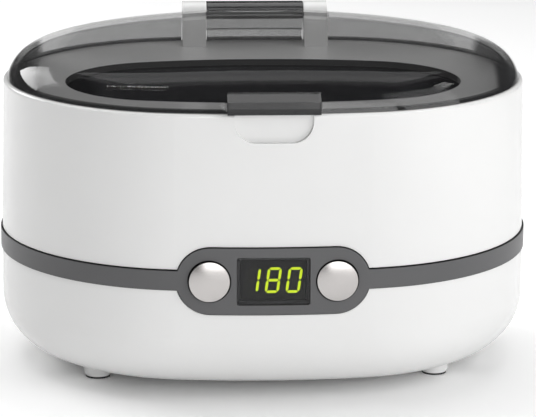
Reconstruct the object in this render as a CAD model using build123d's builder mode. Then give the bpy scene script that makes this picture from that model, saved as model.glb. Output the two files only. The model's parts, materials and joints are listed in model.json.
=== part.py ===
"""Table-top ultrasonic cleaner with a hinged smoked lid, in millimetres.

The origin is on the table under the middle of the housing.  +X is to the right of a person
who faces the control panel, the panel looks along -Y, and +Z is up.
"""
from build123d import *
from math import atan, degrees, radians, sqrt, tan
import os

os.makedirs("parts", exist_ok=True)

# ---------------------------------------------------------------- driving dimensions
# plan outline of the trim band, the widest ring of the housing
half_width = 104.0
half_depth = 79.0
front_radius = 275.0

# heights
foot_height = 5.5
band_bottom = 46.2
band_height = 7.6
rim_height = 113.1
lid_rise = 20.4

# housing shells
wall = 2.5
lower_inset = 0.6
upper_inset = 0.7
rim_inset = 1.9
underside_radius = 22.0
rim_radius = 1.2
ledge_width = 7.1
dish_depth = 2.3

# trim band
band_wall = 4.0
tongue_wall = 1.5
tongue_reach = 3.0
shadow_gap = 0.4

# stainless steel tank
tank_half_x = 78.0
tank_half_y = 44.0
tank_front_radius = 210.0
tank_depth = 50.0
tank_wall = 0.8
tank_bottom_radius = 12.0
flange_width = 6.0
lip_overhang = 0.5
gasket_thickness = 1.0
gasket_inset = 0.5
clamp_x = 40.0
clamp_reach = 10.0

# lid
lid_inset = 2.9
lid_wall = 2.2
crown_radius_x = 480.0
crown_radius_y = 369.0
lid_edge_radius = 16.0
tab_width = 34.6
tab_height = 4.8
tab_rise = 2.8
tab_run = 5.5
tab_root = 11.0

# hinge
hinge_setback = 6.0
hinge_rise = 10.6
barrel_radius = 6.0
barrel_length = 40.2
pin_radius = 1.5
ear_width = 9.7
ear_foot_setback = 17.5
ear_foot_drop = 1.0
ear_foot_radius = 0.5
ear_root_drop = 15.3
ear_root_radius = 1.0
ear_wall_bite = 0.2
pin_recess = 0.6
notch_height = 4.4
slot_reach = 9.8

# thumb recess under the lid's tab
recess_width = 29.5
recess_height = 10.8
recess_radius = 8.0
recess_depth = 2.0

# control panel
panel_drop = 0.1
panel_width = 72.8
panel_tall = 25.7
panel_back = 5.5
button_spacing = 48.0
button_diameter = 15.6
button_proud = 0.9
button_crown = 0.9
button_flange = 1.1
button_flange_thickness = 1.0
button_shoulder = 2.0
button_travel = 0.5
window_width = 27.6
window_tall = 18.4
window_corner = 1.0
window_recess = 0.8
window_thickness = 1.4
window_lip = 1.3

# three-digit display
digit_height = 10.2
digit_width = 5.6
digit_pitch = 7.8
digit_slant = 8.0
stroke = 1.25
stroke_gap = 0.12
segment_proud = 0.15
display_gap = 0.35
display_thickness = 7.0
display_board_thickness = 1.6
display_board_corner = 3.0
switch_height = 3.0
switch_size = 6.0
stem_radius = 1.7
stem_height = 1.0
panel_screw_inset_x = 2.9
panel_screw_inset_z = 2.3
panel_screw_radius = 1.1

# feet, housing screws and their posts
foot_inset_x = 38.0
foot_inset_y = 46.4
foot_radius = 5.5
pad_thickness = 1.5
pad_inset = 0.7
peg_radius = 2.0
peg_length = 3.0
post_inset_x = 22.0
post_y = 30.0
post_rise = 3.4
post_wall = 1.9
upper_post_wall = 2.8
well_radius = 4.1
well_floor = 10.5
pilot_depth = 14.0
housing_screw_radius = 1.7
clamp_screw_radius = 1.4
clamp_screw_depth = 4.5
clamp_boss_wall = 1.8
screw_head = 1.9
screw_head_height = 2.0

# vents in the floor
vent_count = 7
vent_pitch = 6.0
vent_length = 34.0
vent_width = 2.4
vent_x = 40.0

# main board
board_margin = 55.0
board_length = 72.0
board_width = 50.0
board_thickness = 1.6
board_lift = 6.0
board_corner = 2.0
board_screw_inset = 4.0
board_screw_radius = 1.4
board_screw_length = 6.6
board_pillar_wall = 1.8

# rear power inlet
inlet_height = 33.5
inlet_width = 27.0
inlet_tall = 17.0
inlet_flange = 2.0
inlet_corner = 2.8
inlet_seat = 1.5
inlet_body_width = 21.0
inlet_body_tall = 12.5
inlet_body_depth = 18.0
inlet_body_corner = 2.0
inlet_frame_x = 2.0
inlet_frame_z = 1.0
inlet_frame_corner = 3.0
socket_radius = 3.95
socket_spacing = 7.8
socket_waist = 6.3
socket_depth = 13.0
pin_spacing = 8.6
inlet_pin_radius = 1.2
inlet_pin_setback = 1.0
inlet_pin_tail = 4.0

# clearances
running_clearance = 0.03
fit_clearance = 0.3
screw_clearance = 0.2
board_clearance = 0.1
window_clearance = 0.1
peg_clearance = 0.4
lid_gap = 0.3

# ---------------------------------------------------------------- worked-out values
band_top = band_bottom + band_height
panel_height = band_bottom + band_height / 2 - panel_drop
floor_top = foot_height + wall
dish_inset = rim_inset + ledge_width
lip_top = rim_height - dish_depth
lip_bottom = lip_top - wall
flange_top = lip_bottom - gasket_thickness
flange_bottom = flange_top - tank_wall
tank_base = flange_top - tank_depth - tank_wall
lid_top = rim_height + lid_rise
lid_bottom = rim_height + lid_gap
upper_base = band_top + shadow_gap
upper_draft = degrees(atan((rim_inset - upper_inset) / (rim_height - upper_base)))
hinge_y = half_depth - hinge_setback
hinge_z = rim_height + hinge_rise
post_split = band_bottom + post_rise


# ---------------------------------------------------------------- shared forms
def four_ways(x, y):
    """The four points at the same distances from both axes."""
    return [(side * x, end * y) for side in (-1, 1) for end in (-1, 1)]


def oval(half_x, half_y, long_radius):
    """Closed outline of four tangent arcs, symmetrical about X and Y.

    The end arcs have the one radius that meets the long arcs without a corner.
    """
    long_drop = long_radius - half_y
    end_radius = (long_radius**2 - half_x**2 - long_drop**2) / (2 * (long_radius - half_x))
    to_joint = Vector(half_x - end_radius, long_drop).normalized()
    joint = Vector(0, -long_drop) + to_joint * long_radius
    with BuildSketch() as outline:
        with BuildLine():
            ThreePointArc((joint.X, joint.Y), (0, half_y), (-joint.X, joint.Y))
            ThreePointArc((-joint.X, joint.Y), (-half_x, 0), (-joint.X, -joint.Y))
            ThreePointArc((-joint.X, -joint.Y), (0, -half_y), (joint.X, -joint.Y))
            ThreePointArc((joint.X, -joint.Y), (half_x, 0), (joint.X, joint.Y))
        make_face()
    return outline.sketch_local


def body_oval(inset):
    """The housing's plan outline, moved inwards all round."""
    return oval(half_width - inset, half_depth - inset, front_radius - inset)


def tank_oval(grow):
    """The tank's plan outline, moved outwards all round."""
    return oval(tank_half_x + grow, tank_half_y + grow, tank_front_radius + grow)


def front_depth(x, inset=0.0):
    """Distance from the X axis to the curved front of the band, at one side distance."""
    radius = front_radius - inset
    return half_depth - front_radius + sqrt(radius**2 - x**2)


def tub(inset, base, height, edge_radius):
    """Solid oval block with one large round along its lower edge."""
    with BuildPart() as block:
        with BuildSketch(Plane.XY.offset(base)):
            add(body_oval(inset))
        extrude(amount=height)
        fillet(block.faces().sort_by(Axis.Z)[0].edges(), edge_radius)
    return block.part


def lower_shell():
    """Open-topped shell with an even wall all over."""
    with BuildPart() as shell:
        add(tub(lower_inset, foot_height, band_bottom - foot_height, underside_radius))
        add(tub(lower_inset + wall, floor_top, band_bottom - floor_top,
                underside_radius - wall), mode=Mode.SUBTRACT)
    return shell.part


def drafted(inset, base, top):
    """Solid oval block whose sides lean inwards towards the rim."""
    with BuildPart() as block:
        with BuildSketch(Plane.XY.offset(base)):
            add(body_oval(inset))
        extrude(amount=top - base, taper=upper_draft)
    return block.part


def dome(shrink, base):
    """Crowned solid under the lid's outer surface, with every face moved inwards."""
    reach = half_width + wall
    rise = crown_radius_x - shrink
    edge_z = lid_top - crown_radius_x + sqrt(rise**2 - reach**2)
    axis_z = lid_top - crown_radius_y
    with BuildPart() as crowned:
        with BuildSketch(Plane.XY.offset(base - lid_edge_radius)):
            add(body_oval(lid_inset + shrink))
        extrude(amount=lid_top + lid_edge_radius - base)
        with BuildSketch(Plane.XZ):
            with BuildLine():
                ThreePointArc((-reach, edge_z), (0, lid_top - shrink), (reach, edge_z))
                Polyline((reach, edge_z), (reach, axis_z), (-reach, axis_z), (-reach, edge_z))
            make_face()
        revolve(axis=Axis((0, 0, axis_z), (1, 0, 0)), mode=Mode.INTERSECT)
        fillet(crowned.faces().sort_by(Axis.Z)[-1].edges(), lid_edge_radius - shrink)
        split(bisect_by=Plane.XY.offset(base), keep=Keep.TOP)
    return crowned.part


def racetrack(grow):
    """Control panel outline in the XZ plane, moved outwards all round."""
    with BuildSketch() as outline:
        with Locations((0, panel_height)):
            SlotOverall(panel_width + 2 * grow, panel_tall + 2 * grow)
    return outline.sketch_local


def screws(seat, spots, radius, length):
    """Pan-head screws with their heads above the seat plane and their shanks below it."""
    with BuildPart() as group:
        with BuildSketch(seat):
            with Locations(*spots):
                Circle(radius * screw_head)
        extrude(amount=screw_head_height)
        with BuildSketch(seat):
            with Locations(*spots):
                Circle(radius)
        extrude(amount=-length)
    return group.part


# ---------------------------------------------------------------- lower housing
post_spots = four_ways(half_width - post_inset_x, post_y)
foot_spots = four_ways(half_width - foot_inset_x, half_depth - foot_inset_y)
board_x = board_margin - half_width
board_spots = [(board_x + x, y) for x, y in four_ways(board_width / 2 - board_screw_inset,
                                                      board_length / 2 - board_screw_inset)]
inlet_face = half_depth - lower_inset - inlet_seat
head_z = post_split - well_floor

with BuildPart() as lower_housing:
    # posts for the housing screws, board pillars and the seat of the power inlet
    with BuildSketch(Plane.XY.offset(foot_height)):
        with Locations(*post_spots):
            Circle(well_radius + post_wall)
    extrude(amount=post_split - foot_height)
    with BuildSketch(Plane.XY.offset(foot_height)):
        with Locations(*board_spots):
            Circle(board_screw_radius + board_pillar_wall)
    extrude(amount=wall + board_lift)
    with BuildSketch(Plane.XZ.offset(-inlet_face)):
        with Locations((0, inlet_height)):
            RectangleRounded(inlet_width + 2 * inlet_frame_x, inlet_tall + 2 * inlet_frame_z,
                             inlet_frame_corner)
    extrude(amount=wall)
    # nothing inside may stand out of the rounded underside
    add(tub(lower_inset, foot_height, post_split, underside_radius), mode=Mode.INTERSECT)
    add(lower_shell())
    with BuildSketch(Plane.XY.offset(pad_thickness)):
        with Locations(*foot_spots):
            Circle(foot_radius)
    extrude(amount=floor_top - pad_thickness)
    # screw wells, screw holes, pad sockets and vents
    with BuildSketch(Plane.XY):
        with Locations(*post_spots):
            Circle(well_radius)
    extrude(amount=head_z, mode=Mode.SUBTRACT)
    with BuildSketch(Plane.XY):
        with Locations(*post_spots):
            Circle(housing_screw_radius + screw_clearance)
    extrude(amount=post_split, mode=Mode.SUBTRACT)
    with BuildSketch(Plane.XY.offset(floor_top)):
        with Locations(*board_spots):
            Circle(board_screw_radius + running_clearance)
    extrude(amount=board_lift, mode=Mode.SUBTRACT)
    with BuildSketch(Plane.XY):
        with Locations(*foot_spots):
            Circle(peg_radius + running_clearance)
    extrude(amount=pad_thickness + peg_length + peg_clearance, mode=Mode.SUBTRACT)
    with BuildSketch(Plane.XY.offset(foot_height)):
        with Locations((vent_x, 0)):
            with GridLocations(vent_pitch, 1, vent_count, 1):
                SlotOverall(vent_length, vent_width, rotation=90)
    extrude(amount=wall, mode=Mode.SUBTRACT)
    # flat pocket and hole for the power inlet
    with BuildSketch(Plane.XZ.offset(-inlet_face)):
        with Locations((0, inlet_height)):
            RectangleRounded(inlet_width + 2 * fit_clearance, inlet_tall + 2 * fit_clearance,
                             inlet_corner)
    extrude(amount=-wall, mode=Mode.SUBTRACT)
    with BuildSketch(Plane.XZ.offset(-half_depth)):
        with Locations((0, inlet_height)):
            RectangleRounded(inlet_body_width + 2 * fit_clearance,
                             inlet_body_tall + 2 * fit_clearance, inlet_body_corner)
    extrude(amount=inlet_body_depth, mode=Mode.SUBTRACT)
    # half-round cut for the control panel
    with BuildSketch(Plane.XZ):
        add(racetrack(fit_clearance))
    extrude(amount=half_depth, mode=Mode.SUBTRACT)
lower_housing.part.label = "lower_housing"

with BuildPart() as foot_pads:
    with BuildSketch():
        with Locations(*foot_spots):
            Circle(foot_radius - pad_inset)
    extrude(amount=pad_thickness)
    with BuildSketch():
        with Locations(*foot_spots):
            Circle(peg_radius)
    extrude(amount=pad_thickness + peg_length)
foot_pads.part.label = "foot_pads"

# ---------------------------------------------------------------- upper housing
clamp_spots = four_ways(clamp_x, tank_half_y + clamp_reach)
ear_inner = barrel_length / 2 + fit_clearance

with BuildPart() as upper_housing:
    add(drafted(upper_inset, upper_base, rim_height))
    fillet(upper_housing.faces().sort_by(Axis.Z)[-1].edges(), rim_radius)
    add(drafted(upper_inset + wall, upper_base, rim_height - wall), mode=Mode.SUBTRACT)
    # sunken deck that falls from the ledge to the lip round the tank
    with BuildSketch(Plane.XY.offset(lip_bottom)):
        add(tank_oval(flange_width + fit_clearance))
    with BuildSketch(Plane.XY.offset(rim_height - wall)):
        add(body_oval(dish_inset - wall))
    loft()
    with BuildSketch(Plane.XY.offset(lip_top)):
        add(tank_oval(0))
    with BuildSketch(Plane.XY.offset(rim_height)):
        add(body_oval(dish_inset))
    loft(mode=Mode.SUBTRACT)
    with BuildSketch(Plane.XY.offset(lip_bottom)):
        add(tank_oval(0))
    extrude(amount=wall, mode=Mode.SUBTRACT)
    # screw posts and clamp bosses that hang from the deck
    with BuildSketch(Plane.XY.offset(post_split)):
        with Locations(*post_spots):
            Circle(housing_screw_radius + upper_post_wall)
    extrude(amount=rim_height - wall - post_split)
    with BuildSketch(Plane.XY.offset(flange_bottom)):
        with Locations(*clamp_spots):
            Circle(clamp_screw_radius + clamp_boss_wall)
    extrude(amount=lip_top - flange_bottom)
    # thick wall behind the thumb recess
    with BuildSketch(Plane.XZ.offset(half_depth - rim_inset - wall)):
        with Locations((0, rim_height - wall - recess_height / 2)):
            Rectangle(recess_width + 2 * wall, recess_height + recess_depth)
    extrude(amount=-recess_depth)
    # hinge ears with ribs inside the rear wall
    for side in (-1, 1):
        with BuildSketch(Plane.YZ.offset(side * ear_inner)):
            with Locations((hinge_y, hinge_z)):
                Circle(barrel_radius)
            with Locations((half_depth - ear_foot_setback, rim_height - ear_foot_drop)):
                Circle(ear_foot_radius)
            with Locations((half_depth - rim_inset - wall - ear_root_radius + ear_wall_bite,
                            rim_height - ear_root_drop)):
                Circle(ear_root_radius)
            make_hull()
        extrude(amount=side * ear_width)
    with BuildSketch(Plane.YZ.offset(-half_width)):
        with Locations((hinge_y, hinge_z)):
            Circle(pin_radius + running_clearance)
    extrude(amount=2 * half_width, mode=Mode.SUBTRACT)
    # pilot holes
    with BuildSketch(Plane.XY.offset(post_split)):
        with Locations(*post_spots):
            Circle(housing_screw_radius + running_clearance)
    extrude(amount=pilot_depth, mode=Mode.SUBTRACT)
    with BuildSketch(Plane.XY.offset(flange_bottom)):
        with Locations(*clamp_spots):
            Circle(clamp_screw_radius + running_clearance)
    extrude(amount=clamp_screw_depth, mode=Mode.SUBTRACT)
    # thumb recess
    with BuildSketch(Plane.XZ.offset(front_depth(0, rim_inset) - recess_depth)):
        with Locations((0, rim_height)):
            RectangleRounded(recess_width, 2 * recess_height, recess_radius)
    extrude(amount=wall + recess_depth, mode=Mode.SUBTRACT)
    # half-round cut for the control panel
    with BuildSketch(Plane.XZ):
        add(racetrack(fit_clearance))
    extrude(amount=half_depth, mode=Mode.SUBTRACT)
upper_housing.part.label = "upper_housing"

with BuildPart() as housing_screws:
    add(screws(Plane((0, 0, head_z), x_dir=(1, 0, 0), z_dir=(0, 0, -1)), post_spots,
               housing_screw_radius, well_floor + pilot_depth - fit_clearance))
housing_screws.part.label = "housing_screws"

# ---------------------------------------------------------------- trim band with panel
flange_radius = button_diameter / 2 + button_flange
back_plane = half_depth - panel_back
pane_back = half_depth - window_recess - window_thickness
shoulder = front_depth(button_spacing / 2) - button_shoulder
display_face = pane_back - display_gap
display_back = display_face - display_thickness
panel_screw_x = panel_width / 2 - panel_screw_inset_x
panel_screw_z = panel_tall / 2 - panel_screw_inset_z
panel_screws = [(-panel_screw_x, panel_height), (panel_screw_x, panel_height),
                (0, panel_height + panel_screw_z), (0, panel_height - panel_screw_z)]
button_spots = [(-button_spacing / 2, panel_height), (button_spacing / 2, panel_height)]

with BuildPart() as trim_band:
    # full-height ring, kept only inside the panel's outline
    with BuildSketch(Plane.XY.offset(panel_height - panel_tall)):
        add(body_oval(0))
    extrude(amount=2 * panel_tall)
    with BuildSketch(Plane.XZ.offset(back_plane)):
        add(racetrack(0))
    extrude(amount=2 * panel_back, mode=Mode.INTERSECT)
    # ring and the tongues that locate both housings
    with BuildSketch(Plane.XY.offset(band_bottom)):
        add(body_oval(0))
        add(body_oval(band_wall), mode=Mode.SUBTRACT)
    extrude(amount=band_height)
    with BuildSketch(Plane.XY.offset(band_bottom - tongue_reach)):
        add(body_oval(upper_inset + wall + fit_clearance))
        add(body_oval(upper_inset + wall + fit_clearance + tongue_wall), mode=Mode.SUBTRACT)
    extrude(amount=band_height + 2 * tongue_reach)
    # step that carries the upper housing and leaves the shadow line outside
    with BuildSketch(Plane.XY.offset(band_top)):
        add(body_oval(upper_inset + wall / 2))
        add(body_oval(band_wall), mode=Mode.SUBTRACT)
    extrude(amount=shadow_gap)
    # button bores with counterbores from behind
    with BuildSketch(Plane.XZ.offset(back_plane - panel_back)):
        with Locations(*button_spots):
            Circle(button_diameter / 2 + fit_clearance)
    extrude(amount=3 * panel_back, mode=Mode.SUBTRACT)
    with BuildSketch(Plane.XZ.offset(shoulder)):
        with Locations(*button_spots):
            Circle(flange_radius + fit_clearance)
    extrude(amount=-2 * panel_back, mode=Mode.SUBTRACT)
    # window pocket, and the smaller hole for the display behind it
    with BuildSketch(Plane.XZ.offset(pane_back)):
        with Locations((0, panel_height)):
            RectangleRounded(window_width, window_tall, window_corner)
    extrude(amount=panel_back, mode=Mode.SUBTRACT)
    with BuildSketch(Plane.XZ.offset(back_plane - panel_back)):
        with Locations((0, panel_height)):
            Rectangle(window_width - 2 * window_lip, window_tall - 2 * window_lip)
    extrude(amount=3 * panel_back, mode=Mode.SUBTRACT)
    # bosses for the display board
    with BuildSketch(Plane.XZ.offset(back_plane)):
        with Locations(*panel_screws):
            Circle(panel_screw_inset_z - fit_clearance)
    extrude(amount=display_back - back_plane)
    with BuildSketch(Plane.XZ.offset(display_back)):
        with Locations(*panel_screws):
            Circle(panel_screw_radius + running_clearance)
    extrude(amount=back_plane - display_back, mode=Mode.SUBTRACT)
trim_band.part.label = "trim_band"

with BuildPart() as display_window:
    with BuildSketch(Plane.XZ.offset(pane_back)):
        with Locations((0, panel_height)):
            RectangleRounded(window_width - 2 * window_clearance,
                             window_tall - 2 * window_clearance, window_corner)
    extrude(amount=window_thickness)
display_window.part.label = "display_window"

# ---------------------------------------------------------------- push buttons
flange_front = shoulder - fit_clearance
cap_front = front_depth(button_spacing / 2) + button_proud + button_crown
cap_crown_radius = ((button_diameter / 2) ** 2 + button_crown**2) / (2 * button_crown)


def push_button(x):
    """Cap with a crowned front and a flange that keeps it in its bore."""
    with BuildPart() as button:
        with BuildSketch(Plane.XZ.offset(flange_front)):
            with Locations((x, panel_height)):
                Circle(button_diameter / 2)
        extrude(amount=cap_front - flange_front)
        with Locations((x, cap_crown_radius - cap_front, panel_height)):
            Sphere(cap_crown_radius, mode=Mode.INTERSECT)
        with BuildSketch(Plane.XZ.offset(flange_front)):
            with Locations((x, panel_height)):
                Circle(flange_radius)
        extrude(amount=-button_flange_thickness)
    return button.part


with BuildPart() as left_button:
    add(push_button(-button_spacing / 2))
left_button.part.label = "left_button"

with BuildPart() as right_button:
    add(push_button(button_spacing / 2))
right_button.part.label = "right_button"


# ---------------------------------------------------------------- display and its board
def segment_outline(kind):
    """Corner points of one seven-segment stroke, before the slant."""
    half = digit_width / 2 - stroke / 2
    rise = digit_height / 2 - stroke / 2
    tip = stroke / 2
    if kind in "adg":
        z = {"a": rise, "g": 0.0, "d": -rise}[kind]
        end = half - stroke_gap
        return [(-end, z), (tip - end, z + tip), (end - tip, z + tip),
                (end, z), (end - tip, z - tip), (tip - end, z - tip)]
    x = half if kind in "bc" else -half
    middle = rise / 2 if kind in "bf" else -rise / 2
    end = rise / 2 - stroke_gap
    return [(x, middle - end), (x + tip, middle - end + tip), (x + tip, middle + end - tip),
            (x, middle + end), (x - tip, middle + end - tip), (x - tip, middle - end + tip)]


def stroke_plates(strokes):
    """Thin plates on the display's face, one for each (digit place, stroke) pair."""
    slope = tan(radians(digit_slant))
    with BuildPart() as plates:
        with BuildSketch(Plane.XZ.offset(display_face)):
            for place, kind in strokes:
                corners = [(x + slope * z + (place - 1) * digit_pitch, z + panel_height)
                           for x, z in segment_outline(kind)]
                Polygon(*corners, align=None)
        extrude(amount=segment_proud)
    return plates.part


shown = ("bc", "abcdefg", "abcdef")
lit = [(place, kind) for place, kinds in enumerate(shown) for kind in kinds]
unlit = [(place, kind) for place in range(3) for kind in "abcdefg" if kind not in shown[place]]

with BuildPart() as led_display:
    with BuildSketch(Plane.XZ.offset(display_back)):
        with Locations((0, panel_height)):
            Rectangle(window_width - 2 * window_lip - 2 * fit_clearance,
                      window_tall - 2 * window_lip - 2 * fit_clearance)
    extrude(amount=display_thickness)
led_display.part.label = "led_display"

with BuildPart() as lit_segments:
    add(stroke_plates(lit))
lit_segments.part.label = "lit_segments"

with BuildPart() as unlit_segments:
    add(stroke_plates(unlit))
unlit_segments.part.label = "unlit_segments"

board_rear = display_back - display_board_thickness

with BuildPart() as display_board:
    with BuildSketch(Plane.XZ.offset(board_rear)):
        with Locations((0, panel_height)):
            RectangleRounded(panel_width - 2 * fit_clearance, panel_tall - 2 * fit_clearance,
                             display_board_corner)
        with Locations(*panel_screws):
            Circle(panel_screw_radius + board_clearance, mode=Mode.SUBTRACT)
    extrude(amount=display_board_thickness)
display_board.part.label = "display_board"

with BuildPart() as tact_switches:
    with BuildSketch(Plane.XZ.offset(display_back)):
        with Locations(*button_spots):
            Rectangle(switch_size, switch_size)
    extrude(amount=switch_height)
    with BuildSketch(Plane.XZ.offset(display_back + switch_height)):
        with Locations(*button_spots):
            Circle(stem_radius)
    extrude(amount=stem_height)
tact_switches.part.label = "tact_switches"

with BuildPart() as display_screws:
    add(screws(Plane((0, -board_rear, 0), x_dir=(-1, 0, 0), z_dir=(0, 1, 0)), panel_screws,
               panel_screw_radius, back_plane - board_rear - fit_clearance))
display_screws.part.label = "display_screws"

# ---------------------------------------------------------------- tank
with BuildPart() as tank:
    with BuildSketch(Plane.XY.offset(tank_base)):
        add(tank_oval(lip_overhang + tank_wall))
    extrude(amount=tank_depth + tank_wall)
    fillet(tank.faces().sort_by(Axis.Z)[0].edges(), tank_bottom_radius + tank_wall)
    with BuildSketch(Plane.XY.offset(flange_bottom)):
        add(tank_oval(flange_width))
    extrude(amount=tank_wall)
    with BuildPart(mode=Mode.PRIVATE) as cavity:
        with BuildSketch(Plane.XY.offset(tank_base + tank_wall)):
            add(tank_oval(lip_overhang))
        extrude(amount=tank_depth)
        fillet(cavity.faces().sort_by(Axis.Z)[0].edges(), tank_bottom_radius)
    add(cavity.part, mode=Mode.SUBTRACT)
tank.part.label = "tank"

with BuildPart() as tank_gasket:
    with BuildSketch(Plane.XY.offset(flange_top)):
        add(tank_oval(flange_width - gasket_inset))
        add(tank_oval(lip_overhang + gasket_inset), mode=Mode.SUBTRACT)
    extrude(amount=gasket_thickness)
tank_gasket.part.label = "tank_gasket"

clamp_thickness = 1.2
clamp_width = 10.0
clamp_length = 14.0
clamp_shift = 4.0
clamp_base = flange_bottom - clamp_thickness

with BuildPart() as tank_clamps:
    with BuildSketch(Plane.XY.offset(clamp_base)):
        with Locations(*four_ways(clamp_x, tank_half_y + clamp_reach - clamp_shift)):
            Rectangle(clamp_width, clamp_length)
        with Locations(*clamp_spots):
            Circle(clamp_screw_radius + board_clearance, mode=Mode.SUBTRACT)
    extrude(amount=clamp_thickness)
tank_clamps.part.label = "tank_clamps"

with BuildPart() as clamp_screws:
    add(screws(Plane((0, 0, clamp_base), x_dir=(1, 0, 0), z_dir=(0, 0, -1)), clamp_spots,
               clamp_screw_radius, clamp_thickness + clamp_screw_depth - fit_clearance))
clamp_screws.part.label = "clamp_screws"

# ---------------------------------------------------------------- transducer stack
horn_radius = 22.5
horn_edge = 4.0
stack_radius = 19.0
stack_bore = 5.0
horn_height = 15.0
ring_height = 5.0
electrode_height = 0.3
lug_width = 4.0
lug_length = 5.0
back_height = 11.0
bolt_radius = 4.0
bolt_head_radius = 6.6
bolt_head_height = 5.0
bolt_bite = 10.0
horn_bottom = tank_base - horn_height
first_ring_top = horn_bottom - electrode_height
second_ring_top = first_ring_top - ring_height - electrode_height
back_top = second_ring_top - ring_height - electrode_height
bolt_seat = back_top - back_height


def washer(top, height):
    """Round ring of the stack, hung down from its top face."""
    with BuildPart() as ring:
        with BuildSketch(Plane.XY.offset(top)):
            Circle(stack_radius)
            Circle(stack_bore, mode=Mode.SUBTRACT)
        extrude(amount=-height)
    return ring.part


with BuildPart() as transducer_horn:
    with BuildSketch(Plane.XY.offset(horn_bottom)):
        Circle(stack_radius)
    with BuildSketch(Plane.XY.offset(tank_base - horn_edge)):
        Circle(horn_radius)
    loft()
    with BuildSketch(Plane.XY.offset(tank_base - horn_edge)):
        Circle(horn_radius)
    extrude(amount=horn_edge)
    with BuildSketch(Plane.XY.offset(horn_bottom)):
        Circle(bolt_radius + running_clearance)
    extrude(amount=bolt_bite, mode=Mode.SUBTRACT)
transducer_horn.part.label = "transducer_horn"

with BuildPart() as piezo_rings:
    add(washer(first_ring_top, ring_height))
    add(washer(second_ring_top, ring_height))
piezo_rings.part.label = "piezo_rings"

with BuildPart() as electrodes:
    for plate_top in (horn_bottom, first_ring_top - ring_height, second_ring_top - ring_height):
        add(washer(plate_top, electrode_height))
        with BuildSketch(Plane.XY.offset(plate_top)):
            with Locations((stack_radius + lug_length / 2 - electrode_height, 0)):
                Rectangle(lug_length, lug_width)
        extrude(amount=-electrode_height)
electrodes.part.label = "electrodes"

with BuildPart() as back_mass:
    add(washer(back_top, back_height))
back_mass.part.label = "back_mass"

with BuildPart() as stack_bolt:
    with BuildSketch(Plane.XY.offset(bolt_seat)):
        RegularPolygon(bolt_head_radius, 6)
    extrude(amount=-bolt_head_height)
    with BuildSketch(Plane.XY.offset(bolt_seat)):
        Circle(bolt_radius)
    extrude(amount=horn_bottom + bolt_bite - fit_clearance - bolt_seat)
stack_bolt.part.label = "stack_bolt"

# ---------------------------------------------------------------- main board
board_bottom = floor_top + board_lift
board_top = board_bottom + board_thickness

with BuildPart() as main_board:
    with BuildSketch(Plane.XY.offset(board_bottom)):
        with Locations((board_x, 0)):
            RectangleRounded(board_width, board_length, board_corner)
        with Locations(*board_spots):
            Circle(board_screw_radius + board_clearance, mode=Mode.SUBTRACT)
    extrude(amount=board_thickness)
main_board.part.label = "main_board"

with BuildPart() as board_screws:
    add(screws(Plane.XY.offset(board_top), board_spots, board_screw_radius,
               board_screw_length))
board_screws.part.label = "board_screws"

# transformer with an E-shaped core: two outer legs, a centre leg and the yokes between them
core_x = board_x + 4.0
core_y = -14.0
core_stand = 3.0
core_width = 26.0
core_depth = 8.0
core_height = 20.0
core_yoke = 3.0
core_slot = 6.0
core_slot_spacing = 17.0
coil_width = 16.6
coil_depth = 20.0
coil_corner = 4.0
coil_gap = 0.2
coil_foot_width = 16.0
coil_foot_depth = 3.0
slot_height = core_height - 2 * core_yoke
core_leg = core_slot_spacing - core_slot
coil_base = board_top + core_stand + core_yoke + coil_gap

with BuildPart() as transformer_core:
    with BuildSketch(Plane.XY.offset(board_top + core_stand)):
        with Locations((core_x, core_y)):
            Rectangle(core_width, core_depth)
    extrude(amount=core_height)
    with BuildSketch(Plane.XY.offset(board_top + core_stand + core_yoke)):
        with Locations((core_x, core_y)):
            with GridLocations(core_slot_spacing, 1, 2, 1):
                Rectangle(core_slot, core_depth)
    extrude(amount=slot_height, mode=Mode.SUBTRACT)
transformer_core.part.label = "transformer_core"

with BuildPart() as transformer_coil:
    with BuildSketch(Plane.XY.offset(coil_base)):
        with Locations((core_x, core_y)):
            RectangleRounded(coil_width, coil_depth, coil_corner)
            Rectangle(core_leg + coil_gap, core_depth + 2 * coil_gap, mode=Mode.SUBTRACT)
    extrude(amount=slot_height - 2 * coil_gap)
    with BuildSketch(Plane.XY.offset(board_top)):
        with Locations((core_x, core_y)):
            with GridLocations(1, coil_depth - coil_foot_depth, 1, 2):
                Rectangle(coil_foot_width, coil_foot_depth)
    extrude(amount=coil_base - board_top)
transformer_coil.part.label = "transformer_coil"

inductor_x = board_x - 13.0
inductor_y = 20.0
inductor_radius = 10.0
inductor_bore = 4.0
inductor_height = 9.0
inductor_bevel = 1.5

with BuildPart() as inductor:
    with BuildSketch(Plane.XY.offset(board_top)):
        with Locations((inductor_x, inductor_y)):
            Circle(inductor_radius)
            Circle(inductor_bore, mode=Mode.SUBTRACT)
    extrude(amount=inductor_height)
    chamfer(inductor.edges().filter_by(GeomType.CIRCLE), inductor_bevel)
inductor.part.label = "inductor"

bulk_x = board_x + 4.0
bulk_y = 22.0
bulk_radius = 6.3
bulk_height = 22.0
bulk_bevel = 0.8

with BuildPart() as bulk_capacitor:
    with BuildSketch(Plane.XY.offset(board_top)):
        with Locations((bulk_x, bulk_y)):
            Circle(bulk_radius)
    extrude(amount=bulk_height)
    chamfer(bulk_capacitor.edges().sort_by(Axis.Z)[-1], bulk_bevel)
bulk_capacitor.part.label = "bulk_capacitor"

film_x = board_x - 17.5
film_y = -10.0
film_spacing = 12.0
film_width = 14.0
film_depth = 7.0
film_height = 12.0
film_corner = 1.0

with BuildPart() as film_capacitors:
    with BuildSketch(Plane.XY.offset(board_top)):
        with Locations((film_x, film_y)):
            with GridLocations(1, film_spacing, 1, 2):
                RectangleRounded(film_width, film_depth, film_corner)
    extrude(amount=film_height)
film_capacitors.part.label = "film_capacitors"

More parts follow.
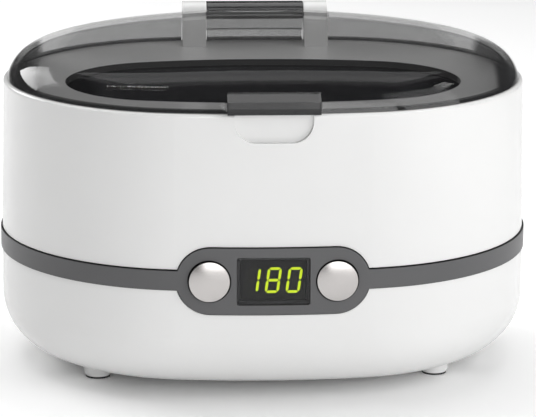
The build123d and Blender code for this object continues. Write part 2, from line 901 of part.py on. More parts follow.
sink_x = board_x + 21.5
sink_y = 4.0
sink_length = 44.0
sink_plate = 2.5
sink_height = 24.0
fin_count = 8
fin_pitch = 6.0
fin_length = 5.0
fin_thickness = 1.2

with BuildPart() as heat_sink:
    with BuildSketch(Plane.XY.offset(board_top)):
        with Locations((sink_x, sink_y)):
            Rectangle(sink_plate, sink_length)
        with Locations((sink_x + fin_length / 2, sink_y)):
            with GridLocations(1, fin_pitch, 1, fin_count):
                Rectangle(fin_length + sink_plate, fin_thickness)
    extrude(amount=sink_height)
heat_sink.part.label = "heat_sink"

transistor_y = 14.5
transistor_spacing = 13.0
transistor_depth = 4.5
transistor_width = 10.0
transistor_height = 15.0
lead_length = 5.0
lead_pitch = 2.54
lead_depth = 0.6
lead_width = 0.8
transistor_x = sink_x - (sink_plate + transistor_depth) / 2
transistor_spots = [(transistor_x, transistor_y - transistor_spacing / 2),
                    (transistor_x, transistor_y + transistor_spacing / 2)]

with BuildPart() as power_transistors:
    with BuildSketch(Plane.XY.offset(board_top + lead_length)):
        with Locations(*transistor_spots):
            Rectangle(transistor_depth, transistor_width)
    extrude(amount=transistor_height)
    with BuildSketch(Plane.XY.offset(board_top)):
        with Locations(*transistor_spots):
            with GridLocations(1, lead_pitch, 1, 3):
                Rectangle(lead_depth, lead_width)
    extrude(amount=lead_length)
power_transistors.part.label = "power_transistors"

fuse_length = 20.0
fuse_radius = 2.6
fuse_cap = 5.5
fuse_step = 0.3
fuse_x = board_x - 15.0
fuse_y = -30.5
fuse_lift = 4.5
clip_width = 3.0
clip_inset = 1.0
clip_cheek = 0.8
clip_height = 6.0
fuse_z = board_top + fuse_lift

with BuildPart() as fuse:
    with BuildSketch(Plane.YZ.offset(fuse_x)):
        with Locations((fuse_y, fuse_z)):
            Circle(fuse_radius)
    extrude(amount=fuse_length)
    with BuildSketch(Plane.YZ.offset(fuse_x + fuse_cap)):
        with Locations((fuse_y, fuse_z)):
            Circle(fuse_radius)
            Circle(fuse_radius - fuse_step, mode=Mode.SUBTRACT)
    extrude(amount=fuse_length - 2 * fuse_cap, mode=Mode.SUBTRACT)
fuse.part.label = "fuse"

with BuildPart() as fuse_clips:
    for clip_x in (fuse_x + clip_inset, fuse_x + fuse_length - clip_inset - clip_width):
        with BuildSketch(Plane.YZ.offset(clip_x)):
            with Locations((fuse_y, board_top + clip_height / 2)):
                Rectangle(2 * (fuse_radius + clip_cheek), clip_height)
            with Locations((fuse_y, fuse_z)):
                Circle(fuse_radius + running_clearance, mode=Mode.SUBTRACT)
        extrude(amount=clip_width)
fuse_clips.part.label = "fuse_clips"

# ---------------------------------------------------------------- power inlet
pin_spots = [(-pin_spacing / 2, inlet_height), (pin_spacing / 2, inlet_height)]

with BuildPart() as power_inlet:
    with BuildSketch(Plane.XZ.offset(-inlet_face)):
        with Locations((0, inlet_height)):
            RectangleRounded(inlet_width, inlet_tall, inlet_corner)
    extrude(amount=-inlet_flange)
    with BuildSketch(Plane.XZ.offset(-inlet_face)):
        with Locations((0, inlet_height)):
            RectangleRounded(inlet_body_width, inlet_body_tall, inlet_body_corner)
    extrude(amount=inlet_body_depth)
    with BuildSketch(Plane.XZ.offset(-inlet_face - inlet_flange)):
        with Locations((0, inlet_height)):
            with GridLocations(socket_spacing, 1, 2, 1):
                Circle(socket_radius)
            Rectangle(socket_spacing - 2 * running_clearance, socket_waist)
    extrude(amount=socket_depth, mode=Mode.SUBTRACT)
    with BuildSketch(Plane.XZ.offset(-inlet_face)):
        with Locations(*pin_spots):
            Circle(inlet_pin_radius + running_clearance)
    extrude(amount=inlet_body_depth, mode=Mode.SUBTRACT)
power_inlet.part.label = "power_inlet"

with BuildPart() as inlet_pins:
    with BuildSketch(Plane.XZ.offset(inlet_pin_setback - inlet_face)):
        with Locations(*pin_spots):
            Circle(inlet_pin_radius)
    extrude(amount=inlet_body_depth + inlet_pin_tail - inlet_pin_setback)
inlet_pins.part.label = "inlet_pins"

# ---------------------------------------------------------------- lid and hinge pin
ear_middle = ear_inner + ear_width / 2
pin_half = ear_inner + ear_width - pin_recess

with BuildPart() as lid:
    add(dome(0, lid_bottom))
    # front lifting tab
    with BuildSketch(Plane.YZ.offset(-tab_width / 2)):
        with BuildLine():
            Polyline((tab_root - half_depth, lid_bottom), (-half_depth, lid_bottom),
                     (-half_depth, lid_bottom + tab_height),
                     (tab_run - half_depth, lid_bottom + tab_height + tab_rise),
                     (tab_root - half_depth, lid_bottom + tab_height + tab_rise),
                     (tab_root - half_depth, lid_bottom))
        make_face()
    extrude(amount=tab_width)
    # hinge barrel between the ears
    with BuildSketch(Plane.YZ.offset(-barrel_length / 2)):
        with Locations((hinge_y, hinge_z)):
            Circle(barrel_radius)
    extrude(amount=barrel_length)
    add(dome(lid_wall, lid_bottom - lid_gap), mode=Mode.SUBTRACT)
    # low notch across the hinge, and full-height slots for the ears
    with BuildSketch(Plane.XY.offset(lid_bottom - lid_gap)):
        with Locations((0, hinge_y)):
            Rectangle(2 * (ear_inner + ear_width + fit_clearance), 2 * slot_reach)
    extrude(amount=notch_height + lid_gap, mode=Mode.SUBTRACT)
    with BuildSketch(Plane.XY.offset(lid_bottom)):
        with Locations((-ear_middle, hinge_y), (ear_middle, hinge_y)):
            Rectangle(ear_width + 2 * fit_clearance, 2 * slot_reach)
    extrude(amount=lid_rise, mode=Mode.SUBTRACT)
    with BuildSketch(Plane.YZ.offset(-half_width)):
        with Locations((hinge_y, hinge_z)):
            Circle(pin_radius + running_clearance)
    extrude(amount=2 * half_width, mode=Mode.SUBTRACT)
lid.part.label = "lid"

with BuildPart() as hinge_pin:
    with BuildSketch(Plane.YZ.offset(-pin_half)):
        with Locations((hinge_y, hinge_z)):
            Circle(pin_radius)
    extrude(amount=2 * pin_half)
hinge_pin.part.label = "hinge_pin"

# ---------------------------------------------------------------- files
for piece in (lower_housing, foot_pads, upper_housing, housing_screws, trim_band,
              display_window, left_button, right_button, led_display, lit_segments,
              unlit_segments, display_board, tact_switches, display_screws, tank, tank_gasket,
              tank_clamps, clamp_screws, transducer_horn, piezo_rings, electrodes, back_mass,
              stack_bolt, main_board, board_screws, transformer_core, transformer_coil,
              inductor, bulk_capacitor, film_capacitors, heat_sink, power_transistors, fuse,
              fuse_clips, power_inlet, inlet_pins, lid, hinge_pin):
    export_step(piece.part, f"parts/{piece.part.label}.step")
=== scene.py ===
import json
import math

import bmesh
import bpy
from mathutils import Matrix, Vector

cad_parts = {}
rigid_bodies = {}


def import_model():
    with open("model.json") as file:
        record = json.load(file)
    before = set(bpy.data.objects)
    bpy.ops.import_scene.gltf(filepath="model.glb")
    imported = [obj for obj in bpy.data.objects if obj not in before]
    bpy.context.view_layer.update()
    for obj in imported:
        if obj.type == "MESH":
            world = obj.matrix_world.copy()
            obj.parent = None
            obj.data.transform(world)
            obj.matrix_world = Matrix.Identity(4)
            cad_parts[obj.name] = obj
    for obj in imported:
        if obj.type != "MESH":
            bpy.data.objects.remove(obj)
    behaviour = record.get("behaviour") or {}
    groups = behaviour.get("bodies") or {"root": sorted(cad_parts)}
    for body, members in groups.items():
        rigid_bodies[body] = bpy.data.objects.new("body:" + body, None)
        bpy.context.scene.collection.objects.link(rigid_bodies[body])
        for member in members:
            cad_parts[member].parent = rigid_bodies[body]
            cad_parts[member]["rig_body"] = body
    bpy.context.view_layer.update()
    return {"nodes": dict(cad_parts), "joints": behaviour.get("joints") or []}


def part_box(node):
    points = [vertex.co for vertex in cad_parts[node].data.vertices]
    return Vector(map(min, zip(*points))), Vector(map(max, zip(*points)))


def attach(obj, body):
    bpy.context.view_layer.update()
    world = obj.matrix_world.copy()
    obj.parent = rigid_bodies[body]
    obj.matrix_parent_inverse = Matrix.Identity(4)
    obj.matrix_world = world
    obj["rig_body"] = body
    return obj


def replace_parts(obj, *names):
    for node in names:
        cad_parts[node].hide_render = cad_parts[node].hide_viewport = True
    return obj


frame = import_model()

# Lengths are in metres.  The control panel looks along -Y and +Z is up.
MM = 0.001
IMAGE_WIDTH = 536
SENSOR = 36.0
FAR_CLIP = 20
HINGE = next(joint["pos_m"] for joint in frame["joints"] if joint["name"] == "lid_hinge")
BUTTONS = ("left_button", "right_button")


# ------------------------------------------------------------------ camera
def make_camera():
    """Long lens, a little to the left of the middle and above the lid."""
    distance = 1162.6 * MM
    elevation = math.radians(13.88)
    azimuth = math.radians(-3.07)
    roll = math.radians(0.26)
    focal = 2916.9
    centre_shift = 5.3
    target = Vector((0, 0, 58.6 * MM))
    back = Vector((math.sin(azimuth) * math.cos(elevation),
                   -math.cos(azimuth) * math.cos(elevation),
                   math.sin(elevation)))
    right = Vector((math.cos(azimuth), math.sin(azimuth), 0))
    up = back.cross(right)
    x_axis = right * math.cos(roll) + up * math.sin(roll)
    y_axis = up * math.cos(roll) - right * math.sin(roll)
    data = bpy.data.cameras.new("camera")
    data.sensor_width = SENSOR
    data.lens = focal * SENSOR / IMAGE_WIDTH
    data.shift_x = centre_shift / IMAGE_WIDTH
    data.clip_end = FAR_CLIP
    camera = bpy.data.objects.new("camera", data)
    rotation = Matrix((x_axis, y_axis, back)).transposed().to_4x4()
    camera.matrix_world = Matrix.Translation(target + back * distance) @ rotation
    bpy.context.scene.collection.objects.link(camera)
    bpy.context.scene.camera = camera


# ------------------------------------------------------------------ light and floor
# Name: (azimuth, elevation, distance, (width, height), watts) and, for one, its width's way.
LAMPS = {
    "key": (60, 28, 1.6, (1.1, 1.1), 9.4),
    "left": (-128, 24, 1.3, (0.72, 0.52), 7.2),
    "left_strip": (-72, 62, 1.1, (0.5, 0.03), 0.9, (0.36, -0.255, 0.12)),
    "right_window": (92, 44, 1.3, (0.22, 0.16), 1.0),
    "front": (15, 14, 1.8, (1.4, 0.8), 12.3),
    "top": (180, 72, 1.5, (1.6, 1.1), 12.8),
}
LAMPS_LOOK_AT = Vector((0, 0, 60 * MM))
WORLD_LIGHT = 0.10      # strength that lights the object
WORLD_MIRRORED = 0.0    # share of the white backdrop in mirror rays
FLOOR_SIZE = 6
FLOOR_BOUNCE = 0.95     # the floor's grey for the light that it throws back
FLOOR_SEEN = 1.1        # and for the eye


def softbox(name, azimuth, elevation, distance, size, power, along=None):
    """Soft rectangular lamp on a sphere round the object, looking at its middle.

    Azimuth 0 is in front of the control panel and 90 is to its right.  Its width lies level,
    or along a direction.
    """
    a, e = math.radians(azimuth), math.radians(elevation)
    way = Vector((math.sin(a) * math.cos(e), -math.cos(a) * math.cos(e), math.sin(e)))
    level = Vector(along or (math.cos(a), math.sin(a), 0))
    x_axis = (level - way * level.dot(way)).normalized()
    data = bpy.data.lights.new(name, "AREA")
    data.shape = "RECTANGLE"
    data.size, data.size_y = size
    data.energy = power
    lamp = bpy.data.objects.new(name, data)
    rotation = Matrix((x_axis, way.cross(x_axis), way)).transposed().to_4x4()
    lamp.matrix_world = Matrix.Translation(LAMPS_LOOK_AT + way * distance) @ rotation
    bpy.context.scene.collection.objects.link(lamp)


def seen_directly(nodes, links, for_light, for_eye, glossy):
    """Show for_eye to camera and see-through rays, and for_light to the rest.

    Glossy is the share of for_eye that mirror rays get.
    """
    path = nodes.new("ShaderNodeLightPath")
    seen = path.outputs["Is Camera Ray"]
    for ray, share in (("Is Transmission Ray", 1.0), ("Is Glossy Ray", glossy)):
        part = nodes.new("ShaderNodeMath")
        part.operation = "MULTIPLY"
        part.inputs[1].default_value = share
        links.new(path.outputs[ray], part.inputs[0])
        either = nodes.new("ShaderNodeMath")
        either.operation = "MAXIMUM"
        links.new(seen, either.inputs[0])
        links.new(part.outputs[0], either.inputs[1])
        seen = either.outputs[0]
    mix = nodes.new("ShaderNodeMixShader")
    links.new(seen, mix.inputs[0])
    links.new(for_light, mix.inputs[1])
    links.new(for_eye, mix.inputs[2])
    return mix.outputs[0]


def background(nodes, strength):
    """White background of a strength."""
    shader = nodes.new("ShaderNodeBackground")
    shader.inputs["Color"].default_value = (1, 1, 1, 1)
    shader.inputs["Strength"].default_value = strength
    return shader.outputs[0]


def make_world():
    """Dim grey studio light, white where it is seen."""
    world = bpy.data.worlds.new("studio")
    bpy.context.scene.world = world
    world.use_nodes = True
    nodes, links = world.node_tree.nodes, world.node_tree.links
    nodes.clear()
    out = nodes.new("ShaderNodeOutputWorld")
    links.new(seen_directly(nodes, links, background(nodes, WORLD_LIGHT),
                            background(nodes, 1.0), WORLD_MIRRORED),
              out.inputs["Surface"])


def make_floor():
    """Pale floor, white where it is lit, that keeps the soft shadow under the object."""
    bpy.ops.mesh.primitive_plane_add(size=FLOOR_SIZE, location=(0, 0, 0))
    floor = bpy.context.object
    floor.name = "floor"
    material = bpy.data.materials.new("floor")
    material.use_nodes = True
    nodes, links = material.node_tree.nodes, material.node_tree.links
    nodes.clear()
    for_light = nodes.new("ShaderNodeBsdfDiffuse")
    for_light.inputs["Color"].default_value = (FLOOR_BOUNCE,) * 3 + (1,)
    for_eye = nodes.new("ShaderNodeBsdfDiffuse")
    for_eye.inputs["Color"].default_value = (FLOOR_SEEN,) * 3 + (1,)
    out = nodes.new("ShaderNodeOutputMaterial")
    links.new(seen_directly(nodes, links, for_light.outputs[0], for_eye.outputs[0], 1.0),
              out.inputs["Surface"])
    floor.data.materials.append(material)


# ------------------------------------------------------------------ material helpers
# Colour of painted shade, for gaps, hole edges, the deck edge and the feet's contact line.
PAINTED_SHADE_COLOUR = (0.004, 0.004, 0.004)
FLOW_SCALE = 35         # moulded plastic: flow marks
CLOUD_SCALE = 14        # and slow changes of tone
CLOUD_SHARE = 0.97
PATCH_SCALE = 45        # metal: duller patches
WIRE_ROUGHNESS = 0.28   # copper windings
WIRE_SCALE = 350
WIRE_TURN = (0, math.pi / 2, 0)
# Painted shade in the grooves between the wires, as a share of the wire's colour.
WIRE_GROOVE_SHADE = 0.35
WIRE_GROOVE = 0.2 * MM
EDGE_FACING = 0.88      # clear plastic is denser from this slant on
SMEAR_SCALE = 30


class Surface:
    """A material with one Principled shader and the few node helpers that it needs."""

    def __init__(self, name, colour, roughness, metallic=0.0, **sockets):
        self.material = bpy.data.materials.new(name)
        self.material.use_nodes = True
        self.nodes = self.material.node_tree.nodes
        self.links = self.material.node_tree.links
        self.shader = self.nodes["Principled BSDF"]
        self.colour, self.roughness = colour, roughness
        self.set("Base Color", (*colour, 1))
        self.set("Roughness", roughness)
        self.set("Metallic", metallic)
        for socket, value in sockets.items():
            self.set(socket.replace("_", " "), value)

    def set(self, socket, value):
        self.shader.inputs[socket].default_value = value

    def texture(self, kind, scale, stretch=(1, 1, 1), turn=(0, 0, 0), **values):
        """Texture in object space, so that it keeps its real size on every piece."""
        place = self.nodes.new("ShaderNodeTexCoord")
        mapping = self.nodes.new("ShaderNodeMapping")
        mapping.inputs["Scale"].default_value = stretch
        mapping.inputs["Rotation"].default_value = turn
        texture = self.nodes.new("ShaderNodeTex" + kind)
        texture.inputs["Scale"].default_value = scale
        for socket, value in values.items():
            texture.inputs[socket].default_value = value
        self.links.new(place.outputs["Object"], mapping.inputs["Vector"])
        self.links.new(mapping.outputs[0], texture.inputs["Vector"])
        return texture.outputs["Distance" if kind == "Voronoi" else "Fac"]

    def spread(self, source, low, high, from_low=0.3, from_high=0.7):
        """Map a range of a socket onto the range from low to high, and no further."""
        spread = self.nodes.new("ShaderNodeMapRange")
        for socket, value in (("From Min", from_low), ("From Max", from_high),
                              ("To Min", low), ("To Max", high)):
            spread.inputs[socket].default_value = value
        self.links.new(source, spread.inputs["Value"])
        return spread.outputs[0]

    def arithmetic(self, operation, *values):
        """One Math node on sockets or plain numbers."""
        node = self.nodes.new("ShaderNodeMath")
        node.operation = operation
        for socket, value in zip(node.inputs, values):
            if isinstance(value, (int, float)):
                socket.default_value = value
            else:
                self.links.new(value, socket)
        return node.outputs[0]

    def place(self):
        """The x, y and z of the point in object space."""
        place = self.nodes.new("ShaderNodeTexCoord")
        parts = self.nodes.new("ShaderNodeSeparateXYZ")
        self.links.new(place.outputs["Object"], parts.inputs[0])
        return parts.outputs

    def reach_round(self, piece):
        """Distance from the axis along y through the middle of a piece."""
        low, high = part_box(piece)
        x, _, z = self.place()
        squares = [self.arithmetic("POWER", self.arithmetic(
            "SUBTRACT", value, (low[axis] + high[axis]) / 2), 2.0)
            for value, axis in ((x, 0), (z, 2))]
        return self.arithmetic("SQRT", self.arithmetic("ADD", *squares))

    def box_reach(self, middle, reach):
        """1 on the faces of a box, less inside it and more outside."""
        shares = [self.arithmetic("DIVIDE", self.arithmetic("ABSOLUTE", self.arithmetic(
            "SUBTRACT", value, centre)), half)
            for value, centre, half in zip(self.place(), middle, reach)]
        return self.arithmetic("MAXIMUM", self.arithmetic("MAXIMUM", *shares[:2]), shares[2])

    def paint_shade(self, distance, start, end, share=1.0):
        """Paint shade into the colour by a share, as in a narrow gap, beyond a distance."""
        socket = self.shader.inputs["Base Color"]
        mix = self.nodes.new("ShaderNodeMix")
        mix.data_type = "RGBA"
        if socket.is_linked:
            self.links.new(socket.links[0].from_socket, mix.inputs["A"])
        else:
            mix.inputs["A"].default_value = socket.default_value
        mix.inputs["B"].default_value = (*PAINTED_SHADE_COLOUR, 1)
        self.links.new(self.spread(distance, 0, share, start, end), mix.inputs["Factor"])
        self.links.new(mix.outputs["Result"], socket)

    def sheen(self, source, amount):
        """Vary the roughness by a texture."""
        self.links.new(self.spread(source, self.roughness - amount, self.roughness + amount),
                       self.shader.inputs["Roughness"])

    def tone(self, source, other, from_low=0.3, from_high=0.7):
        """Blend the colour into another one by a texture."""
        mix = self.nodes.new("ShaderNodeMix")
        mix.data_type = "RGBA"
        mix.inputs["A"].default_value = (*self.colour, 1)
        mix.inputs["B"].default_value = (*other, 1)
        self.links.new(self.spread(source, 0, 1, from_low, from_high), mix.inputs["Factor"])
        self.links.new(mix.outputs["Result"], self.shader.inputs["Base Color"])

    def relief(self, source, depth):
        """Raise the surface by a texture, depth in metres."""
        bump = self.nodes.new("ShaderNodeBump")
        bump.inputs["Distance"].default_value = depth
        self.links.new(source, bump.inputs["Height"])
        self.links.new(bump.outputs[0], self.shader.inputs["Normal"])
        return self

    def dress(self, *names):
        """Give CAD nodes this material."""
        for name in names:
            node = frame["nodes"][name]
            node.data.materials.clear()
            node.data.materials.append(self.material)
        return self


def mould(name, colour, roughness, grain, depth, wear=0.03):
    """Moulded plastic: faint flow marks, sheen changes and a fine surface grain."""
    made = Surface(name, colour, roughness)
    made.sheen(made.texture("Noise", FLOW_SCALE, stretch=(1, 1, 2.5), Detail=4), wear)
    made.tone(made.texture("Noise", CLOUD_SCALE, Detail=2),
              tuple(c * CLOUD_SHARE for c in colour))
    return made.relief(made.texture("Noise", grain, Detail=3), depth)


def metal(name, colour, roughness, stretch=(1, 1, 1), lines=900, depth=3e-6, dull=0.85,
          wear=0.08):
    """Bare metal with fine lines along one direction and duller patches."""
    made = Surface(name, colour, roughness, 1.0)
    marks = made.texture("Noise", lines, stretch=stretch, Detail=2)
    made.sheen(marks, wear)
    made.tone(made.texture("Noise", PATCH_SCALE, Detail=3), tuple(c * dull for c in colour))
    return made.relief(marks, depth)


def winding(name, colour):
    """Enamelled copper wire laid side by side, with painted shade in the grooves between the
    wires.
    """
    made = Surface(name, colour, WIRE_ROUGHNESS, 1.0)
    wires = made.texture("Wave", WIRE_SCALE, turn=WIRE_TURN, Distortion=0.4)
    # Painted shade: the grooves between the wires are darkened.
    made.tone(wires, tuple(c * WIRE_GROOVE_SHADE for c in colour), 0.0, 0.5)
    return made.relief(wires, WIRE_GROOVE)


def see_through(name, colour, alpha, edge_alpha, roughness, thick=()):
    """Tinted clear plastic: denser where it is looked at along its surface.

    Thick lists boxes, (middle, reach, fade, alpha), where light goes a longer way through
    the plastic.
    """
    made = Surface(name, colour, roughness)
    facing = made.nodes.new("ShaderNodeLayerWeight")
    density = made.spread(facing.outputs["Facing"], alpha, edge_alpha, EDGE_FACING, 1.0)
    for middle, reach, fade, solid_alpha in thick:
        density = made.arithmetic("MAXIMUM", density, made.spread(
            made.box_reach(middle, reach), solid_alpha, 0.0, 1.0, 1.0 + fade))
    made.links.new(density, made.shader.inputs["Alpha"])
    made.sheen(made.texture("Noise", SMEAR_SCALE, Detail=2), roughness / 2)
    return made


# ------------------------------------------------------------------ added pieces
STROKE_SHARE = 0.76     # of the width of a lamp window
SAME_POINT = 0.001 * MM
WEB_BEHIND_PIN = 2.0 * MM
WEB_TOP_BELOW_PIN = 5.7 * MM
WEB_BOTTOM_BELOW_PIN = 10.3 * MM
WEB_HALF_WIDTH = 19.9 * MM
WEB_WALL = 2.2 * MM
WEB_STEPS = 12
REAR_WALL_RADIUS = 275 * MM


def new_piece(name, mesh, body, material):
    """A piece of the scene's own, on the body that carries it."""
    piece = bpy.data.objects.new(name, mesh)
    bpy.context.scene.collection.objects.link(piece)
    mesh.materials.clear()
    mesh.materials.append(material)
    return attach(piece, body)


def islands(bm):
    """The groups of vertices that hang together."""
    left = set(bm.verts)
    while left:
        group, edge = set(), [left.pop()]
        while edge:
            vert = edge.pop()
            group.add(vert)
            found = {e.other_vert(vert) for e in vert.link_edges} & left
            left -= found
            edge.extend(found)
        yield group


def make_strokes(node, material):
    """The lit strokes of the digits, thinner across than their lamp windows."""
    mesh = frame["nodes"][node].data.copy()
    bm = bmesh.new()
    bm.from_mesh(mesh)
    bmesh.ops.remove_doubles(bm, verts=bm.verts, dist=SAME_POINT)
    for stroke in islands(bm):
        middle = sum((v.co for v in stroke), Vector()) / len(stroke)
        xx = sum((v.co.x - middle.x) ** 2 for v in stroke)
        zz = sum((v.co.z - middle.z) ** 2 for v in stroke)
        xz = sum((v.co.x - middle.x) * (v.co.z - middle.z) for v in stroke)
        angle = math.atan2(2 * xz, xx - zz) / 2
        across = Vector((-math.sin(angle), 0, math.cos(angle)))
        for v in stroke:
            v.co += across * across.dot(v.co - middle) * (STROKE_SHARE - 1)
    bm.to_mesh(mesh)
    bm.free()
    body = frame["nodes"][node]["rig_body"]
    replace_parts(new_piece("lit_strokes", mesh, body, material), node)


def make_web(material):
    """The low wall of the lid between its hinge slots, which closes the view under the knuckle."""
    outer = HINGE[1] + WEB_BEHIND_PIN
    bottom, top = HINGE[2] - WEB_BOTTOM_BELOW_PIN, HINGE[2] - WEB_TOP_BELOW_PIN
    bm = bmesh.new()
    rows = []
    for step in range(WEB_STEPS + 1):
        x = WEB_HALF_WIDTH * (2 * step / WEB_STEPS - 1)
        drop = x * x / (2 * REAR_WALL_RADIUS)
        rows.append([bm.verts.new((x, outer - drop - inset, z))
                     for inset, z in ((0, bottom), (0, top), (WEB_WALL, top),
                                      (WEB_WALL, bottom))])
    for one, two in zip(rows, rows[1:]):
        for k in range(4):
            bm.faces.new((one[k], two[k], two[(k + 1) % 4], one[(k + 1) % 4]))
    bm.faces.new(rows[0])
    bm.faces.new(rows[-1][::-1])
    bmesh.ops.recalc_face_normals(bm, faces=bm.faces)
    mesh = bpy.data.meshes.new("lid_rear_web")
    bm.to_mesh(mesh)
    bm.free()
    new_piece("lid_rear_web", mesh, frame["nodes"]["lid"]["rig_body"], material)


# ------------------------------------------------------------------ materials
PANEL_HALF_WIDTH = 36.4 * MM
BAND_ABOVE_PANEL = 0.1 * MM
BAND_HALF_HEIGHT = 3.8 * MM
TRIM_GAP_SHADOW = (-0.15 * MM, -0.05 * MM)     # where the painted gap shadow starts and is full
BUTTON_EDGE = 7.55 * MM
HOLE_EDGE = 8.25 * MM
BLUR = 0.1 * MM
# Height of the painted contact shadow along the bottom of the feet.
PAD_CONTACT_SHADOW = 0.8 * MM
PAD_FADE = 0.16 * MM
DECK_EDGE = 1.2 * MM
DECK_FADE = 0.02
DECK_SHADOW = 0.9
GASKET_HIDDEN = 4.5 * MM
KNUCKLE_REACH = (20.2 * MM, 6.3 * MM, 6.3 * MM)
KNUCKLE_TOP = 8.6 * MM
TAB_REACH = (18 * MM, 4.5 * MM, 12 * MM)
TAB_EDGE = 17.2 * MM
TAB_EDGE_REACH = (0.5 * MM, 4.5 * MM, 12 * MM)
REAR_REACH = (88 * MM, 30 * MM, 13 * MM)
END_INSET = 4 * MM
END_REACH = (7 * MM, 50 * MM, 7 * MM)
BOTTOM_EDGE_REACH = (1, 1, 1.0 * MM)


def paint_gap_shadows(trim):
    """Painted shadow in the gaps round the trim band, its control panel and the two button holes.
    """
    low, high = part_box("trim_band")
    panel_middle = (low[2] + high[2]) / 2
    panel_half = (high[2] - low[2]) / 2
    x, y, z = trim.place()
    rise = trim.arithmetic("SUBTRACT", z, panel_middle)
    along = trim.arithmetic("MAXIMUM", 0.0, trim.arithmetic(
        "SUBTRACT", trim.arithmetic("ABSOLUTE", x), PANEL_HALF_WIDTH - panel_half))
    from_panel = trim.arithmetic("SUBTRACT", trim.arithmetic("SQRT", trim.arithmetic(
        "ADD", trim.arithmetic("POWER", rise, 2.0),
        trim.arithmetic("POWER", along, 2.0))), panel_half)
    # The control panel is in front only, so the rear of the band has only the band's own painted
    # edge shadow.
    from_panel = trim.arithmetic("MAXIMUM", from_panel, y)
    from_band = trim.arithmetic("SUBTRACT", trim.arithmetic("ABSOLUTE", trim.arithmetic(
        "SUBTRACT", rise, BAND_ABOVE_PANEL)), BAND_HALF_HEIGHT)
    trim.paint_shade(trim.arithmetic("MINIMUM", from_panel, from_band), *TRIM_GAP_SHADOW)
    # Painted shade round the edge of each button hole, in front only.
    for button in BUTTONS:
        inward = trim.arithmetic("MULTIPLY", -1.0, trim.reach_round(button))
        at_front = trim.arithmetic("MINIMUM", inward, trim.arithmetic("MULTIPLY", -1.0, y))
        trim.paint_shade(at_front, -HOLE_EDGE, BLUR - HOLE_EDGE)


def dress_housing():
    """Shells, trim band and feet."""
    shell = mould("white_shell", (0.84, 0.84, 0.835), 0.24, 900, 1.5e-6)
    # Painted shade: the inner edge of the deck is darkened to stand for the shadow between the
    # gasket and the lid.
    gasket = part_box("tank_gasket")[1]
    shell.paint_shade(shell.arithmetic("MULTIPLY", -1.0, shell.box_reach(
        (0, 0, gasket[2] + DECK_EDGE),
        (gasket[0] - GASKET_HIDDEN, gasket[1] - GASKET_HIDDEN, DECK_EDGE))),
        -1.0, DECK_FADE - 1.0, DECK_SHADOW)
    shell.dress("lower_housing", "upper_housing")
    trim = mould("dark_trim", (0.100, 0.100, 0.103), 0.42, 1800, 4e-6, 0.05)
    paint_gap_shadows(trim)
    trim.dress("trim_band")
    mould("rubber", (0.02, 0.02, 0.02), 0.8, 2500, 2e-5).dress("tank_gasket")
    pad = mould("pale_rubber", (0.84, 0.84, 0.83), 0.6, 2500, 1e-5)
    # Painted contact shadow: the bottom of each pad is darkened where it meets the floor.
    pad.paint_shade(pad.arithmetic("MULTIPLY", pad.place()[2], -1.0), -PAD_CONTACT_SHADOW,
              PAD_FADE - PAD_CONTACT_SHADOW)
    pad.dress("foot_pads")


def dress_lid():
    """Smoked lid, and the web that it carries."""
    low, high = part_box("lid")
    end_x = high[0] - END_INSET
    smoke = see_through("smoked_lid", (0.012, 0.012, 0.013), 0.27, 0.55, 0.02, thick=(
        ((0, high[1], low[2]), REAR_REACH, 0.1, 0.36),
        (HINGE, KNUCKLE_REACH, 0.02, 0.42),
        ((0, HINGE[1], HINGE[2] + KNUCKLE_TOP), KNUCKLE_REACH, 0.1, 0.85),
        ((0, low[1], low[2]), TAB_REACH, 0.02, 0.8),
        ((-TAB_EDGE, low[1], low[2]), TAB_EDGE_REACH, 0.1, 0.95),
        ((TAB_EDGE, low[1], low[2]), TAB_EDGE_REACH, 0.1, 0.95),
        ((-end_x, 0, low[2]), END_REACH, 0.6, 0.8),
        ((end_x, 0, low[2]), END_REACH, 0.6, 0.8),
        ((0, 0, low[2]), BOTTOM_EDGE_REACH, 0.4, 0.8))).dress("lid")
    make_web(smoke.material)


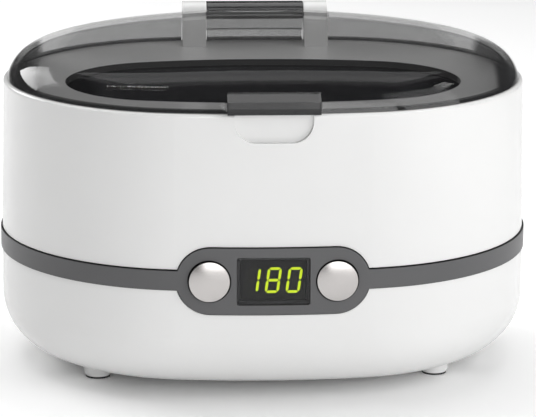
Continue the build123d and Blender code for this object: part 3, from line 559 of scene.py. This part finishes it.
def dress_controls():
    """Buttons, display window and the digits behind it."""
    for button in BUTTONS:
        plating = metal(button + "_plating", (0.53, 0.51, 0.50), 0.24, depth=1e-7, dull=0.98,
                        wear=0.01)
        # Painted shade round the rim of each button, standing for the dark gap to its hole.
        plating.paint_shade(plating.reach_round(button), BUTTON_EDGE, BUTTON_EDGE + BLUR)
        plating.dress(button)
    see_through("display_window", (0.01, 0.01, 0.011), 0.3, 0.5, 0.05).dress("display_window")
    lit = Surface("segment_lit", (0.4, 0.45, 0.02), 0.4, Emission_Strength=2.2,
                  Emission_Color=(0.50, 0.66, 0.006, 1))
    lit.relief(lit.texture("Noise", 2500, Detail=1), 4e-6)
    make_strokes("lit_segments", lit.material)
    mould("segment_unlit", (0.05, 0.05, 0.04), 0.4, 1500, 4e-6).dress("unlit_segments")


def dress_inside():
    """Tank, transducer, boards and fasteners."""
    metal("tank_steel", (0.34, 0.34, 0.35), 0.24, lines=400, depth=1e-7, dull=0.96,
          wear=0.015).dress("tank")
    metal("plain_steel", (0.55, 0.55, 0.56), 0.3).dress(
        "housing_screws", "display_screws", "clamp_screws", "board_screws", "tank_clamps",
        "back_mass", "stack_bolt")
    metal("ground_steel", (0.85, 0.85, 0.85), 0.55).dress("hinge_pin")
    metal("aluminium", (0.75, 0.76, 0.77), 0.32, (1, 0.1, 1)).dress(
        "transducer_horn", "heat_sink", "bulk_capacitor")
    mould("ceramic", (0.33, 0.31, 0.28), 0.6, 1500, 1e-5).dress("piezo_rings")
    mould("ferrite", (0.03, 0.03, 0.033), 0.55, 1500, 2e-5).dress("transformer_core")
    metal("copper", (0.72, 0.36, 0.18), 0.3, (0.1, 1, 1)).dress("electrodes")
    winding("transformer_wire", (0.60, 0.25, 0.10)).dress("transformer_coil")
    winding("inductor_wire", (0.62, 0.28, 0.12)).dress("inductor")
    metal("contacts", (0.78, 0.66, 0.36), 0.22).dress("inlet_pins", "fuse_clips")
    board = mould("solder_mask", (0.015, 0.10, 0.04), 0.35, 1200, 1e-5)
    board.tone(board.texture("Voronoi", 260), (0.03, 0.17, 0.06), 0.1, 0.25)
    board.dress("main_board", "display_board")
    mould("black_parts", (0.02, 0.02, 0.02), 0.45, 1600, 8e-6).dress(
        "power_inlet", "tact_switches", "power_transistors", "led_display")
    mould("film_yellow", (0.6, 0.42, 0.04), 0.35, 800, 1e-5).dress("film_capacitors")
    see_through("fuse_glass", (0.85, 0.88, 0.87), 0.2, 0.6, 0.04).dress("fuse")


make_camera()
make_world()
make_floor()
for lamp_name, placing in LAMPS.items():
    softbox(lamp_name, *placing)
dress_housing()
dress_lid()
dress_controls()
dress_inside()

bpy.context.scene.view_settings.view_transform = "Standard"
